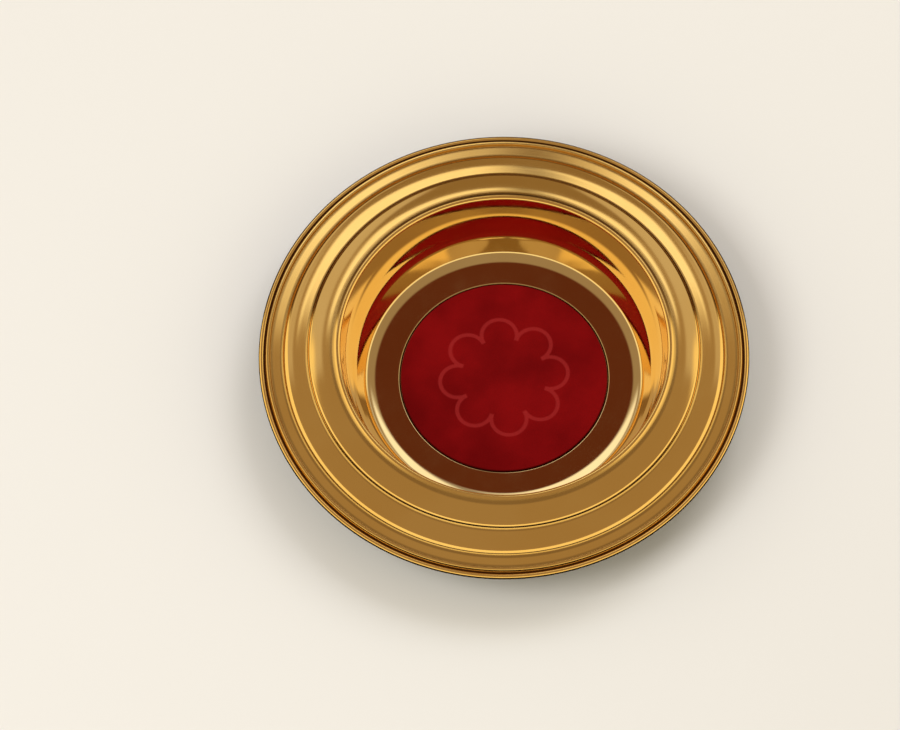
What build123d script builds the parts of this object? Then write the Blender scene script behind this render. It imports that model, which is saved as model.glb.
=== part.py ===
"""A spun brass offering plate: a deep bowl inside a wide stepped rim, with a velvet pad in its floor.

Millimetres. The plate's axis is Z, and it rests on z = 0. Every piece is turned round that axis, so each
one is a section in the XZ plane, with X as the radius.
"""

from build123d import *
import math
import os

# Driving dimensions
plate_diameter = 318.0  # over the rolled edge, nominally 12 1/2 in
lip_height = 50.8  # top of the lip above the surface the plate rests on, nominally 2 in
lip_radius = 107.3  # crown of the lip, where the bowl meets the rim
rim_drop = 16.6  # from the lip's crown down to the middle of the rolled edge
floor_height = 3.1  # polished ring of floor round the pad
sheet = 0.8  # brass sheet, before and after spinning

# Rolled edge: the sheet turned round a wire
wire_diameter = 2.0
wire_slack = 0.05  # between the wire and the sheet round it
roll_radius = wire_diameter / 2 + sheet
roll_center = (plate_diameter / 2 - roll_radius, lip_height - rim_drop)
roll_end_angle = -155.0  # where the turned-in sheet stops, measured from outward

# Pad and its seat, a disc pressed down into the floor
seat_radius = 67.5
seat_depth = 1.0
seat_slope = 0.5  # how much wider the seat is at its mouth
pad_radius = 67.0
velvet_thickness = 0.8
board_thickness = 0.9
glue_thickness = 0.1
glue_margin = 2.0  # the glue stops short of the edge of what it holds

# Felt under the seat, which the plate rests on
felt_radius = 64.0
felt_thickness = floor_height - seat_depth - sheet - glue_thickness

seat_height = floor_height - seat_depth
roll_radius_out, roll_height = roll_center


def touch_point(point, center, radius):
    """Where a line from point, passing over the circle's top, touches the circle."""
    dx = point[0] - center[0]
    dz = point[1] - center[1]
    spread = math.acos(radius / math.hypot(dx, dz))
    angle = math.atan2(dz, dx) - spread
    return (center[0] + radius * math.cos(angle), center[1] + radius * math.sin(angle))


def disc_section(radius, low, high):
    """Half section of a flat disc from height low to high."""
    with Locations((0, low)):
        Rectangle(radius, high - low, align=(Align.MIN, Align.MIN))


# Upper face of the dish from the axis outwards: each corner as radius, height, rounding.
# The floor turns up gently before the bowl's wall, which rises ever more steeply. On the rim, two arched
# bands and a flange are parted by rounded steps, and a bead stands inside the rolled edge.
bowl_corners = [
    (seat_radius, seat_height, 0.4),
    (seat_radius + seat_slope, floor_height, 1.0),
    (85.2, floor_height, 30.0),
    (89.6, floor_height + 0.95, 3.0),
    (97.6, floor_height + 12.1, 30.0),
    (102.8, floor_height + 25.9, 60.0),
]
lip_corners = [
    (lip_radius - 0.9, lip_height + 1.4, 2.2),
    (lip_radius + 4.0, lip_height - 1.6, 4.0),
]
inner_band = [(118.5, roll_height + 14.2, 45.0)]
inner_step = [(126.2, roll_height + 11.1, 3.2), (127.6, roll_height + 8.35, 3.2)]
outer_band = [(135.0, roll_height + 7.5, 40.0)]
outer_step = [(141.7, roll_height + 5.8, 5.5), (143.5, roll_height + 3.0, 2.6)]
flange = [(151.4, roll_height + 1.6, 0.5)]
bead = [(152.2, roll_height + 3.75, 0.9), (154.0, roll_height + 3.6, 0.9), (155.3, roll_height + 1.1, 0.4)]
rim_corners = inner_band + inner_step + outer_band + outer_step + flange + bead
corners = bowl_corners + lip_corners + rim_corners
groove = corners[-1][:2]
roll_start = touch_point(groove, roll_center, roll_radius)
roll_start_angle = math.degrees(math.atan2(roll_start[1] - roll_height, roll_start[0] - roll_radius_out))

os.makedirs("parts", exist_ok=True)

# Dish: one sheet of brass, spun into the seat, floor, wall, lip, stepped rim and rolled edge
with BuildPart() as dish:
    with BuildSketch(Plane.XZ):
        with BuildLine():
            path = [(0, seat_height)] + [corner[:2] for corner in corners] + [roll_start]
            FilletPolyline(*path, radius=[corner[2] for corner in corners])
            CenterArc(roll_center, roll_radius, roll_start_angle, roll_end_angle - roll_start_angle)
            offset(amount=-sheet, side=Side.RIGHT)
        make_face()
    revolve(axis=Axis.Z)
dish.part.label = "dish"

# Wire inside the rolled edge
with BuildPart() as edge_wire:
    with BuildSketch(Plane.XZ):
        with Locations(roll_center):
            Circle(wire_diameter / 2 - wire_slack)
    revolve(axis=Axis.Z)
edge_wire.part.label = "edge_wire"

# Pad: glue, then a board, then velvet drawn over the board's edge
board_bottom = seat_height + glue_thickness
board_top = board_bottom + board_thickness
board_radius = pad_radius - velvet_thickness
pad_top = board_top + velvet_thickness

with BuildPart() as pad_glue:
    with BuildSketch(Plane.XZ):
        disc_section(board_radius - glue_margin, seat_height, board_bottom)
    revolve(axis=Axis.Z)
pad_glue.part.label = "pad_glue"

with BuildPart() as pad_board:
    with BuildSketch(Plane.XZ):
        disc_section(board_radius, board_bottom, board_top)
    revolve(axis=Axis.Z)
pad_board.part.label = "pad_board"

with BuildPart() as pad_velvet:
    with BuildSketch(Plane.XZ):
        disc_section(pad_radius, board_bottom, pad_top)
        with BuildSketch(mode=Mode.SUBTRACT):
            disc_section(board_radius, board_bottom, board_top)
    revolve(axis=Axis.Z)
    fillet(pad_velvet.edges().group_by(Axis.Z)[-1], velvet_thickness * 0.75)
pad_velvet.part.label = "pad_velvet"

# Felt disc glued under the seat
with BuildPart() as base_felt:
    with BuildSketch(Plane.XZ):
        disc_section(felt_radius, 0, felt_thickness)
    revolve(axis=Axis.Z)
base_felt.part.label = "base_felt"

with BuildPart() as base_glue:
    with BuildSketch(Plane.XZ):
        disc_section(felt_radius - glue_margin, felt_thickness, felt_thickness + glue_thickness)
    revolve(axis=Axis.Z)
base_glue.part.label = "base_glue"

for piece in (dish, edge_wire, pad_glue, pad_board, pad_velvet, base_felt, base_glue):
    export_step(piece.part, f"parts/{piece.part.label}.step")
    size = piece.part.bounding_box().size
    print(f"{piece.part.label}: {size.X:.1f} x {size.Y:.1f} x {size.Z:.2f} mm")
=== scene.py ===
"""Offering plate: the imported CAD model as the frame, with its materials, polished dish, velvet and felt.

Metres. The plate's axis is Z and it rests on the floor at z = 0.
"""

import math

import bpy
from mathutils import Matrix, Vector, noise


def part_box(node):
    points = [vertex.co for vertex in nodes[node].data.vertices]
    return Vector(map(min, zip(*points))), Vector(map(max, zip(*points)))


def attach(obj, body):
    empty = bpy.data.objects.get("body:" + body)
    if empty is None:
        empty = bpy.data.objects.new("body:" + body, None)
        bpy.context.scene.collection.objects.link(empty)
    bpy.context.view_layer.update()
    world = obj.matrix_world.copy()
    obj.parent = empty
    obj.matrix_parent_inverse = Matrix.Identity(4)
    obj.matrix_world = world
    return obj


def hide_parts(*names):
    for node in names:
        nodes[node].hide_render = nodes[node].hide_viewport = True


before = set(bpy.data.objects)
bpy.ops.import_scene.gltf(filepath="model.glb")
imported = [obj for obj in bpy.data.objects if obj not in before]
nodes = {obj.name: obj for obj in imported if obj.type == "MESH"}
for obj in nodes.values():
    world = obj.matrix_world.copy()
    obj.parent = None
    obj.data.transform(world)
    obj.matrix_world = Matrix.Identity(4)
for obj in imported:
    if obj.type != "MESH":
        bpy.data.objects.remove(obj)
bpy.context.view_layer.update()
MM = 0.001

# ---------------------------------------------------------------- sizes, from the frame
velvet_low, velvet_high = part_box("pad_velvet")
board_low, board_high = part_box("pad_board")
felt_low, felt_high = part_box("base_felt")
pad_radius = velvet_high.x
board_radius = board_high.x
felt_radius = felt_high.x


# ---------------------------------------------------------------- node helpers
class Graph:
    """A node tree, with one short call for each kind of node."""

    def __init__(self, tree):
        self.tree = tree

    def node(self, kind, **settings):
        made = self.tree.nodes.new(kind)
        for key, value in settings.items():
            setattr(made, key, value)
        return made

    def feed(self, socket, value):
        if isinstance(value, bpy.types.NodeSocket):
            self.tree.links.new(value, socket)
        else:
            socket.default_value = value

    def math(self, operation, first, second=0.0):
        made = self.node("ShaderNodeMath", operation=operation)
        for socket, value in zip(made.inputs, (first, second)):
            self.feed(socket, value)
        return made.outputs[0]

    def vector(self, x, y, z):
        made = self.node("ShaderNodeCombineXYZ")
        for socket, value in zip(made.inputs, (x, y, z)):
            self.feed(socket, value)
        return made.outputs[0]

    def split(self, vector):
        made = self.node("ShaderNodeSeparateXYZ")
        self.feed(made.inputs[0], vector)
        return made.outputs

    def noise(self, vector, scale, detail=2.0, roughness=0.5):
        made = self.node("ShaderNodeTexNoise")
        self.feed(made.inputs["Vector"], vector)
        made.inputs["Scale"].default_value = scale
        made.inputs["Detail"].default_value = detail
        made.inputs["Roughness"].default_value = roughness
        return made.outputs["Fac"]

    def ramp(self, value, low, high, out_low=0.0, out_high=1.0, smooth=True):
        """value from low to high becomes out_low to out_high, held at both ends."""
        made = self.node("ShaderNodeMapRange")
        made.interpolation_type = "SMOOTHSTEP" if smooth else "LINEAR"
        for socket, number in zip(made.inputs, (value, low, high, out_low, out_high)):
            self.feed(socket, number)
        return made.outputs[0]

    def blend(self, amount, first, second):
        """first where amount is 0, second where it is 1: numbers or colours."""
        made = self.node("ShaderNodeMix", data_type="RGBA")
        self.feed(made.inputs["Factor"], amount)
        self.feed(made.inputs["A"], first)
        self.feed(made.inputs["B"], second)
        return made.outputs["Result"]

    def bump(self, height, distance, strength=1.0, under=None):
        made = self.node("ShaderNodeBump")
        made.inputs["Strength"].default_value = strength
        made.inputs["Distance"].default_value = distance
        self.feed(made.inputs["Height"], height)
        if under is not None:
            self.feed(made.inputs["Normal"], under)
        return made.outputs[0]


class MaterialGraph(Graph):
    """The node tree of a new material, with its shader, object coordinates and normal."""

    def __init__(self, name):
        self.material = bpy.data.materials.new(name)
        self.material.use_nodes = True
        super().__init__(self.material.node_tree)
        self.shader = self.tree.nodes["Principled BSDF"]
        coordinates = self.node("ShaderNodeTexCoord")
        self.place = coordinates.outputs["Object"]
        self.normal = coordinates.outputs["Normal"]


def colour(red, green, blue):
    return (red, green, blue, 1.0)


# ---------------------------------------------------------------- dish
# The spun sheet's section, as in the CAD part, in millimetres: each corner as radius, height, rounding.
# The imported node's long facets would break up the reflections in polished brass, so this finely turned
# piece, with exact normals, stands for it.
SHEET = 0.8
ROLL_RADIUS = 1.8
ROLL_CENTER = (157.2, 34.2)
ROLL_END = math.radians(-155.0)
SEAT_HEIGHT = 2.1
CORNERS = (
    # seat, floor and bowl
    (67.5, 2.1, 0.4), (68.0, 3.1, 1.0), (85.2, 3.1, 30.0),
    (89.6, 4.05, 3.0), (97.6, 15.2, 30.0), (102.8, 29.0, 60.0),
    # lip
    (106.4, 52.2, 2.2), (111.3, 49.2, 4.0),
    # inner band and step
    (118.5, 48.4, 45.0), (126.2, 45.3, 3.2), (127.6, 42.55, 3.2),
    # outer band and step
    (135.0, 41.7, 40.0), (141.7, 40.0, 5.5), (143.5, 37.2, 2.6),
    # flange, bead and the groove before the rolled edge
    (151.4, 35.8, 0.5), (152.2, 37.95, 0.9), (154.0, 37.8, 0.9), (155.3, 35.3, 0.4),
)
ARC_STEP = math.radians(10.0)
AROUND = 320


def arc(center, radius, start, turn):
    """Points along an arc, each with the direction out of its centre."""
    steps = max(2, math.ceil(abs(turn) / ARC_STEP))
    out = []
    for k in range(steps + 1):
        angle = start + turn * k / steps
        away = Vector((math.cos(angle), math.sin(angle)))
        out.append((center + away * radius, away))
    return out


def rounded(before, corner, radius, after):
    """The arc that rounds off a corner of the section, as points with their upward normals."""
    along = (corner - before).normalized()
    onward = (after - corner).normalized()
    turn = math.atan2(along.x * onward.y - along.y * onward.x, along.dot(onward))
    side = 1.0 if turn > 0 else -1.0
    touch = corner - along * radius * math.tan(abs(turn) / 2)
    left = Vector((-along.y, along.x))
    center = touch + left * side * radius
    start = math.atan2(-side * left.y, -side * left.x)
    return [(point, away * -side) for point, away in arc(center, radius, start, turn)]


def upper_face():
    """The section's upper face from the axis to the inside of the rolled edge, in metres, with normals."""
    points = [Vector((0.0, SEAT_HEIGHT))] + [Vector(corner[:2]) for corner in CORNERS]
    center = Vector(ROLL_CENTER)
    away = points[-1] - center
    roll_start = math.atan2(away.y, away.x) - math.acos(ROLL_RADIUS / away.length)
    points.append(center + ROLL_RADIUS * Vector((math.cos(roll_start), math.sin(roll_start))))
    face = []
    for before, corner, after, (_, _, radius) in zip(points, points[1:], points[2:], CORNERS):
        face += rounded(before, corner, radius, after)
    face += arc(center, ROLL_RADIUS, roll_start, ROLL_END - roll_start)
    return [(point * MM, normal) for point, normal in face]


def dish_piece():
    upper = upper_face()
    lower = [(point - normal * SHEET * MM, -normal) for point, normal in reversed(upper)]
    rings = upper + lower
    verts = [(0.0, 0.0, SEAT_HEIGHT * MM)]
    normals = [(0.0, 0.0, 1.0)]
    for point, normal in rings:
        for i in range(AROUND):
            angle = math.tau * i / AROUND
            verts.append((point.x * math.cos(angle), point.x * math.sin(angle), point.y))
            normals.append((normal.x * math.cos(angle), normal.x * math.sin(angle), normal.y))
    verts.append((0.0, 0.0, (SEAT_HEIGHT - SHEET) * MM))
    normals.append((0.0, 0.0, -1.0))
    last = len(verts) - 1
    outer = 1 + (len(rings) - 1) * AROUND
    faces = []
    for i in range(AROUND):
        j = (i + 1) % AROUND
        faces.append((0, 1 + i, 1 + j))
        for ring in range(len(rings) - 1):
            near, far = 1 + ring * AROUND, 1 + (ring + 1) * AROUND
            faces.append((near + i, far + i, far + j, near + j))
        faces.append((last, outer + j, outer + i))
    mesh = bpy.data.meshes.new("dish_spun")
    mesh.from_pydata(verts, [], faces)
    mesh.polygons.foreach_set("use_smooth", [True] * len(faces))
    mesh.normals_split_custom_set_from_vertices(normals)
    piece = bpy.data.objects.new("dish_spun", mesh)
    bpy.context.scene.collection.objects.link(piece)
    return piece


# ---------------------------------------------------------------- brass
LIP_INNER_EDGE = 0.1062
POLISH_EDGE = 0.0006  # half width of the change from lacquered rim to polished bowl
# Feet of the steps, where a cloth doesn't reach and shade falls, darkened with patina and painted shade:
# radius, half width of the darkening there, and its strength
CREVICES = ((0.0677, 0.0007, 0.6), (0.1115, 0.0022, 0.38), (0.1281, 0.0012, 0.3),
            (0.1442, 0.0016, 0.4), (0.1514, 0.0022, 0.4), (0.1555, 0.0009, 1.0))


def brass_material():
    g = MaterialGraph("spun_brass")
    x, y, z = g.split(g.place)
    radius = g.math("SQRT", g.math("ADD", g.math("MULTIPLY", x, x), g.math("MULTIPLY", y, y)))
    facing_up = g.split(g.normal)[2]
    under = g.ramp(facing_up, 0.05, -0.25)
    bowl = g.ramp(radius, LIP_INNER_EDGE + POLISH_EDGE, LIP_INNER_EDGE - POLISH_EDGE)

    # rings left by the spinning tool and the polishing wheel: fine across the radius, slow round it
    rings = g.noise(g.vector(g.math("MULTIPLY", radius, 60.0), g.math("MULTIPLY", x, 0.6),
                             g.math("MULTIPLY", y, 0.6)), 60.0, 3.0, 0.65)
    cloud = g.noise(g.place, 14.0, 3.0, 0.55)
    smudge = g.noise(g.place, 55.0, 4.0, 0.6)

    # patina with painted shade: the crevices at the feet of the steps and the groove are darkened towards a
    # near-black brown and made rougher
    patina_and_shade = 0.0
    for crevice, width, strength in CREVICES:
        away = g.math("ABSOLUTE", g.math("SUBTRACT", radius, crevice))
        patina_and_shade = g.math("MAXIMUM", patina_and_shade, g.ramp(away, width, 0.35 * width, 0.0, strength))

    lacquered = g.blend(g.ramp(cloud, 0.35, 0.65), colour(0.93, 0.565, 0.155), colour(0.90, 0.53, 0.135))
    polished = g.blend(g.ramp(cloud, 0.35, 0.65), colour(0.88, 0.63, 0.26), colour(0.85, 0.59, 0.235))
    clean = g.blend(bowl, lacquered, polished)
    # painted shade and patina darken the crevices
    aged_and_shaded = g.blend(patina_and_shade, clean, colour(0.07, 0.018, 0.004))
    tarnish = g.math("MULTIPLY", under, g.ramp(cloud, 0.35, 0.7, 0.25, 0.7))
    g.feed(g.shader.inputs["Base Color"], g.blend(tarnish, aged_and_shaded, colour(0.66, 0.38, 0.12)))
    g.shader.inputs["Metallic"].default_value = 1.0

    rim_roughness = g.ramp(rings, 0.3, 0.7, 0.09, 0.13)
    bowl_roughness = g.ramp(smudge, 0.35, 0.75, 0.045, 0.085)
    roughness = g.ramp(bowl, 0.0, 1.0, rim_roughness, bowl_roughness, smooth=False)
    roughness = g.math("ADD", roughness, g.math("MULTIPLY", under, 0.12))
    roughness = g.math("ADD", roughness, g.math("MULTIPLY", patina_and_shade, 0.25))
    g.feed(g.shader.inputs["Roughness"], roughness)

    g.shader.inputs["Anisotropic"].default_value = 0.35
    g.shader.inputs["Anisotropic Rotation"].default_value = 0.25
    tangent = g.node("ShaderNodeTangent", direction_type="RADIAL", axis="Z")
    g.feed(g.shader.inputs["Tangent"], tangent.outputs[0])

    wobble = g.bump(cloud, 0.0001, 0.35)
    g.feed(g.shader.inputs["Normal"], g.bump(rings, 0.000001, 0.6, wobble))
    return g.material


# ---------------------------------------------------------------- plain inner pieces
def wire_material():
    g = MaterialGraph("drawn_steel")
    streaks = g.noise(g.place, 900.0, 3.0)
    steel = g.blend(streaks, colour(0.42, 0.42, 0.43), colour(0.58, 0.57, 0.56))
    g.feed(g.shader.inputs["Base Color"], steel)
    g.shader.inputs["Metallic"].default_value = 1.0
    g.feed(g.shader.inputs["Roughness"], g.ramp(streaks, 0.3, 0.7, 0.25, 0.45))
    return g.material


def board_material():
    g = MaterialGraph("grey_board")
    fibres = g.noise(g.place, 700.0, 5.0, 0.7)
    card = g.blend(fibres, colour(0.30, 0.25, 0.19), colour(0.46, 0.40, 0.32))
    g.feed(g.shader.inputs["Base Color"], card)
    g.shader.inputs["Roughness"].default_value = 0.92
    g.feed(g.shader.inputs["Normal"], g.bump(fibres, 0.0001, 0.5))
    return g.material


def glue_material():
    g = MaterialGraph("glue_film")
    streaks = g.noise(g.place, 120.0, 3.0)
    dried = g.blend(streaks, colour(0.62, 0.55, 0.38), colour(0.74, 0.69, 0.52))
    g.feed(g.shader.inputs["Base Color"], dried)
    g.feed(g.shader.inputs["Roughness"], g.ramp(streaks, 0.3, 0.7, 0.3, 0.5))
    return g.material


# ---------------------------------------------------------------- velvet pad
LOBES = 8
LOBE_RADIUS = 12.8 * MM
LOBE_DISTANCE = 30.2 * MM
LOBE_START = math.radians(-84.0)
BAND_WIDTH = 2.7 * MM
PRESSED_DEPTH = 0.22 * MM
NAP_DEPTH = 0.06 * MM
TUFT_DEPTH = 0.035 * MM
VELVET_ROUND_OVER = 0.55 * MM
VELVET_MESH_STEP = 0.45 * MM


def smoothstep(low, high, value):
    t = min(1.0, max(0.0, (value - low) / (high - low)))
    return t * t * (3 - 2 * t)


def pressed(x, y):
    """1 on the embossed ring of lobes, 0 off it."""
    angle = math.atan2(y, x) - LOBE_START
    step = math.tau / LOBES
    folded = abs((angle + step / 2) % step - step / 2)
    radius = math.hypot(x, y)
    to_lobe = math.hypot(radius * math.cos(folded) - LOBE_DISTANCE, radius * math.sin(folded)) - LOBE_RADIUS
    outside = min(to_lobe, radius - LOBE_DISTANCE)
    off_middle = abs(outside + BAND_WIDTH / 2)
    return 1.0 - smoothstep(BAND_WIDTH / 2 - 0.35 * MM, BAND_WIDTH / 2 + 0.15 * MM, off_middle)


def turned_mesh(name, profile, segments, lift=None):
    """A mesh turned round Z from a closed profile of (radius, height) that starts and ends on the axis."""
    rings = profile[1:-1]
    points = [Vector((0, 0, profile[0][1]))]
    for radius, height in rings:
        for i in range(segments):
            angle = math.tau * i / segments
            points.append(Vector((radius * math.cos(angle), radius * math.sin(angle), height)))
    points.append(Vector((0, 0, profile[-1][1])))
    if lift:
        points = [lift(p) for p in points]
    faces = []
    for i in range(segments):
        j = (i + 1) % segments
        faces.append((0, 1 + i, 1 + j))
        for ring in range(len(rings) - 1):
            a, b = 1 + ring * segments, 1 + (ring + 1) * segments
            faces.append((a + i, b + i, b + j, a + j))
        last = 1 + (len(rings) - 1) * segments
        faces.append((last + j, last + i, len(points) - 1))
    mesh = bpy.data.meshes.new(name)
    mesh.from_pydata([tuple(p) for p in points], [], faces)
    mesh.polygons.foreach_set("use_smooth", [True] * len(faces))
    piece = bpy.data.objects.new(name, mesh)
    bpy.context.scene.collection.objects.link(piece)
    return piece


def velvet_piece():
    """Velvet over the board: a flat top with an embossed ring, a rounded edge and a turned-down skirt."""
    top, bottom = velvet_high.z, velvet_low.z
    inner = board_radius + 0.02 * MM
    flat = pad_radius - VELVET_ROUND_OVER
    count = int(flat / VELVET_MESH_STEP)
    profile = [(0, top)]
    profile += [(flat * (k + 1) / count, top) for k in range(count)]
    turns = 6
    for k in range(1, turns + 1):
        angle = math.pi / 2 * k / turns
        out = VELVET_ROUND_OVER * math.sin(angle)
        down = VELVET_ROUND_OVER - VELVET_ROUND_OVER * math.cos(angle)
        profile.append((flat + out, top - down))
    profile += [(pad_radius - 0.03 * MM, (top + bottom) / 2), (pad_radius - 0.1 * MM, bottom + 0.1 * MM)]
    profile += [(pad_radius - 0.25 * MM, bottom), (inner, bottom), (inner, board_high.z + 0.02 * MM)]
    profile += [(board_radius * k / 4, board_high.z + 0.02 * MM) for k in (3, 2, 1)]
    profile.append((0, board_high.z + 0.02 * MM))

    def lift(p):
        if p.z < board_high.z + 0.1 * MM:
            return p
        nap = noise.noise(Vector((p.x * 60, p.y * 60, 3.1))) * NAP_DEPTH
        tufts = noise.noise(Vector((p.x * 900, p.y * 900, 7.7))) * TUFT_DEPTH
        sunk = pressed(p.x, p.y) * PRESSED_DEPTH
        return Vector((p.x, p.y, p.z + nap + tufts - sunk - NAP_DEPTH))

    piece = turned_mesh("pad_velvet_cover", profile, 360, lift)
    mark = piece.data.attributes.new("pressed", "FLOAT", "POINT")
    mark.data.foreach_set("value", [pressed(v.co.x, v.co.y) for v in piece.data.vertices])
    return piece


def velvet_material():
    g = MaterialGraph("red_velvet")
    attribute = g.node("ShaderNodeAttribute", attribute_name="pressed")
    on_ring = attribute.outputs["Fac"]
    nap = g.noise(g.place, 22.0, 3.0, 0.55)
    pile = g.noise(g.place, 2600.0, 2.0, 0.7)
    deep = g.blend(g.ramp(nap, 0.3, 0.7), colour(0.155, 0.0022, 0.003), colour(0.25, 0.004, 0.005))
    tufted = g.blend(g.ramp(pile, 0.3, 0.7, 0.0, 0.45), deep, colour(0.09, 0.001, 0.0015))
    # painted sheen: the pressed pile of the embossed ring is painted a lighter red
    painted_ring_sheen = g.math("MULTIPLY", on_ring, 0.4)
    g.feed(g.shader.inputs["Base Color"], g.blend(painted_ring_sheen, tufted, colour(0.40, 0.03, 0.03)))
    g.shader.inputs["Roughness"].default_value = 0.95
    g.shader.inputs["Specular IOR Level"].default_value = 0.05
    g.shader.inputs["Sheen Weight"].default_value = 0.22
    g.shader.inputs["Sheen Roughness"].default_value = 0.35
    g.shader.inputs["Sheen Tint"].default_value = colour(0.9, 0.06, 0.05)
    g.feed(g.shader.inputs["Normal"], g.bump(pile, 0.0002, 0.6))
    return g.material


# ---------------------------------------------------------------- felt under the seat
def felt_piece():
    bottom, top = felt_low.z, felt_high.z
    profile = [(0, bottom)]
    count = 64
    flat = felt_radius - 0.35 * MM
    profile += [(flat * (k + 1) / count, bottom) for k in range(count)]
    profile += [(felt_radius - 0.05 * MM, bottom + 0.3 * MM), (felt_radius - 0.02 * MM, (bottom + top) / 2)]
    profile += [(felt_radius - 0.1 * MM, top - 0.02 * MM), (felt_radius - 0.4 * MM, top)]
    profile += [(felt_radius * k / 4, top) for k in (3, 2, 1)]
    profile.append((0, top))

    def lift(p):
        radius = math.hypot(p.x, p.y)
        if radius < felt_radius - 0.5 * MM:
            fuzz = max(0.0, noise.noise(Vector((p.x * 500, p.y * 500, 1.3)))) * 0.04 * MM
            return Vector((p.x, p.y, p.z + (fuzz if p.z < top - 0.1 * MM else 0.0)))
        wander = noise.noise(Vector((p.x * 90, p.y * 90, 5.0))) * 0.12 * MM - 0.12 * MM
        return Vector((p.x * (1 + wander / radius), p.y * (1 + wander / radius), p.z))

    piece = turned_mesh("base_felt_disc", profile, 240, lift)
    piece.data.flip_normals()
    return piece


def felt_material():
    g = MaterialGraph("red_felt")
    fibres = g.noise(g.place, 900.0, 6.0, 0.75)
    patches = g.noise(g.place, 40.0, 3.0)
    base = g.blend(patches, colour(0.10, 0.006, 0.009), colour(0.16, 0.012, 0.015))
    loose = g.ramp(fibres, 0.45, 0.75, 0.0, 0.6)
    g.feed(g.shader.inputs["Base Color"], g.blend(loose, base, colour(0.30, 0.05, 0.05)))
    g.shader.inputs["Roughness"].default_value = 1.0
    g.shader.inputs["Specular IOR Level"].default_value = 0.1
    g.shader.inputs["Sheen Weight"].default_value = 0.25
    g.feed(g.shader.inputs["Normal"], g.bump(fibres, 0.0004, 0.8))
    return g.material


# ---------------------------------------------------------------- floor, lights and camera
FLOOR_WIDTH = 8.0
# Soft lights for the floor, velvet and felt: name, place, width, power
FILL_LIGHTS = (
    ("fill_left", (-1.3, -0.7, 1.9), 1.2, 21.0),
    ("fill_back", (0.9, 1.2, 2.0), 1.4, 18.0),
)


def floor():
    mesh = bpy.data.meshes.new("floor")
    half = FLOOR_WIDTH / 2
    corners = [(-half, -half, 0), (half, -half, 0), (half, half, 0), (-half, half, 0)]
    mesh.from_pydata(corners, [], [(0, 1, 2, 3)])
    obj = bpy.data.objects.new("floor", mesh)
    bpy.context.scene.collection.objects.link(obj)
    g = MaterialGraph("pale_floor")
    g.shader.inputs["Base Color"].default_value = colour(0.80, 0.79, 0.77)
    g.shader.inputs["Roughness"].default_value = 0.8
    mesh.materials.append(g.material)
    obj.visible_glossy = False


def fill_light(name, place, size, power):
    """A soft light that the brass doesn't mirror."""
    light = bpy.data.lights.new(name, "AREA")
    light.size = size
    light.energy = power
    obj = bpy.data.objects.new(name, light)
    obj.location = place
    obj.rotation_euler = (-Vector(place)).to_track_quat("-Z", "Y").to_euler()
    obj.visible_glossy = False
    bpy.context.scene.collection.objects.link(obj)


# What the plate mirrors: left, right, front and back edges on a plane one unit up, and colour
WARM_DIFFUSER = (0.38, 0.305, 0.235)
FAR_DIFFUSER = (0.29, 0.225, 0.165)
RED_GLOW = (0.125, 0.034, 0.016)
COOL_SOFTBOX = (1.25, 1.32, 1.50)
SIDE_SOFTBOX = (0.62, 0.60, 0.64)
WINDOW = (1.15, 1.08, 0.85)
SOFTBOXES = (
    (-0.30, 0.30, 0.30, 0.62, RED_GLOW),
    (-2.50, 2.50, -0.95, 0.37, WARM_DIFFUSER),
    (0.12, 2.50, 0.30, 1.10, WARM_DIFFUSER),
    (-2.50, -0.12, 0.30, 1.10, WARM_DIFFUSER),
    (-2.50, 2.50, 1.05, 14.0, FAR_DIFFUSER),
    (-1.50, -0.52, 0.46, 2.60, SIDE_SOFTBOX),
    (0.52, 1.50, 0.46, 2.60, SIDE_SOFTBOX),
    (-0.38, 0.01, 0.57, 1.04, COOL_SOFTBOX),
    (0.07, 0.34, 0.57, 1.00, COOL_SOFTBOX),
)
SOFTBOX_EDGE = 0.05
# A window runs low round the front and both sides: its soft upper edge, and how far back it reaches per
# unit to the side
WINDOW_TOP = (0.66, 0.74)
WINDOW_REACH = 0.75
# The table's soft upper edge as the plate mirrors it, and how much lower it is behind the plate
TABLE_TOP = (0.10, 0.21)
TABLE_DROP_BEHIND = 0.12
ROOM = (0.095, 0.050, 0.034)
TABLE = (0.010, 0.007, 0.006)
BACKDROP = (0.80, 0.79, 0.775)


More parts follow.
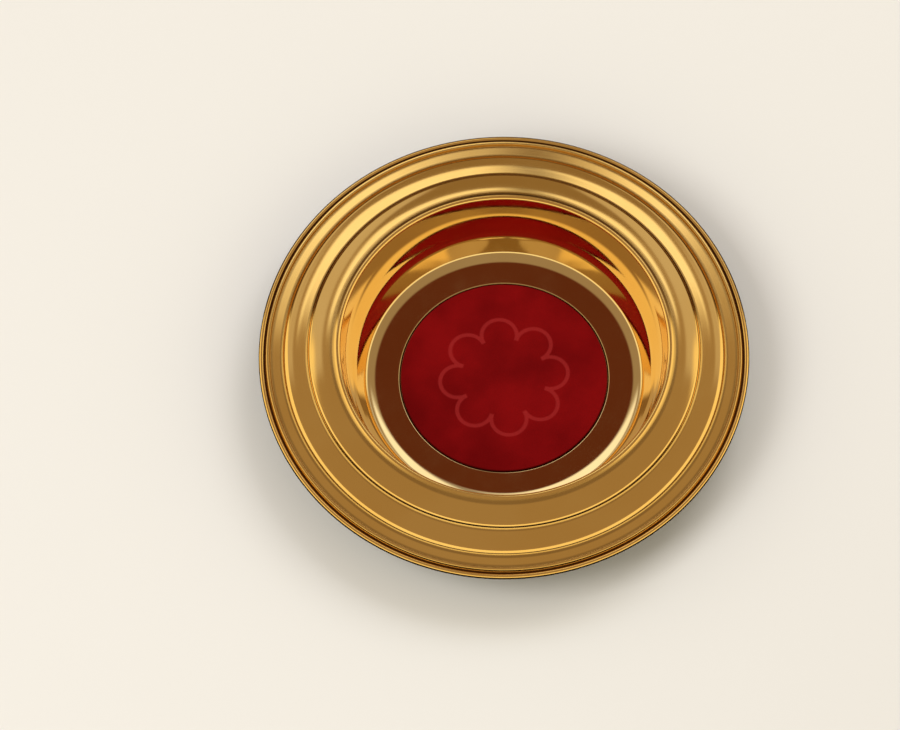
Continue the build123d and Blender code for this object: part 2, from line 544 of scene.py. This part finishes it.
def studio():
    """The world: a pale backdrop to the camera, and a dim room with softboxes to what it lights."""
    world = bpy.data.worlds.new("studio")
    world.use_nodes = True
    bpy.context.scene.world = world
    g = Graph(world.node_tree)
    direction = g.node("ShaderNodeTexCoord").outputs["Generated"]
    x, y, z = g.split(direction)
    above = g.math("MAXIMUM", z, 0.01)
    across = g.math("DIVIDE", x, above)
    along = g.math("DIVIDE", y, above)
    light = colour(*ROOM)
    for left, right, front, back, shade in SOFTBOXES:
        inside = 1.0
        for place, low, high in ((across, left, right), (along, front, back)):
            inside = g.math("MULTIPLY", inside, g.ramp(place, low - SOFTBOX_EDGE, low + SOFTBOX_EDGE))
            inside = g.math("MULTIPLY", inside, g.ramp(place, high + SOFTBOX_EDGE, high - SOFTBOX_EDGE))
        light = g.blend(inside, light, colour(*shade))
    behind = g.math("SUBTRACT", y, g.math("MULTIPLY", g.math("ABSOLUTE", x), WINDOW_REACH))
    below_top = g.ramp(z, WINDOW_TOP[1], WINDOW_TOP[0])
    window = g.math("MULTIPLY", below_top, g.ramp(behind, SOFTBOX_EDGE, -SOFTBOX_EDGE))
    light = g.blend(window, light, colour(*WINDOW))
    height = g.math("ADD", z, g.ramp(y, -0.2, 0.2, 0.0, TABLE_DROP_BEHIND))
    light = g.blend(g.ramp(height, *TABLE_TOP), colour(*TABLE), light)
    rays = g.node("ShaderNodeLightPath")
    seen = g.blend(rays.outputs["Is Camera Ray"], light, colour(*BACKDROP))
    g.feed(world.node_tree.nodes["Background"].inputs["Color"], seen)


def lights():
    studio()
    for fill in FILL_LIGHTS:
        fill_light(*fill)


CAMERA_ELEVATION = math.radians(64.3)
CAMERA_DISTANCE = 12.0
CAMERA_TARGET = (0, 0, 0.022)
CAMERA_SHIFT = -0.06
SENSOR_MM = 36.0
LENS_MM = 740.0


def camera():
    data = bpy.data.cameras.new("camera")
    obj = bpy.data.objects.new("camera", data)
    bpy.context.scene.collection.objects.link(obj)
    back = Vector((0, -math.cos(CAMERA_ELEVATION), math.sin(CAMERA_ELEVATION)))
    obj.location = Vector(CAMERA_TARGET) + back * CAMERA_DISTANCE
    obj.rotation_euler = (-back).to_track_quat("-Z", "Y").to_euler()
    data.sensor_width = SENSOR_MM
    data.lens = LENS_MM
    data.shift_x = CAMERA_SHIFT
    bpy.context.scene.camera = obj


# ---------------------------------------------------------------- assembly
dish = dish_piece()
dish.data.materials.append(brass_material())
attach(dish, "root")
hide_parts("dish")

nodes["edge_wire"].material_slots[0].material = wire_material()
nodes["pad_board"].material_slots[0].material = board_material()
glue = glue_material()
nodes["pad_glue"].material_slots[0].material = glue
nodes["base_glue"].material_slots[0].material = glue

velvet = velvet_piece()
velvet.data.materials.append(velvet_material())
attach(velvet, "root")
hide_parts("pad_velvet")

felt = felt_piece()
felt.data.materials.append(felt_material())
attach(felt, "root")
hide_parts("base_felt")

floor()
lights()
camera()
bpy.context.scene.view_settings.view_transform = "Standard"
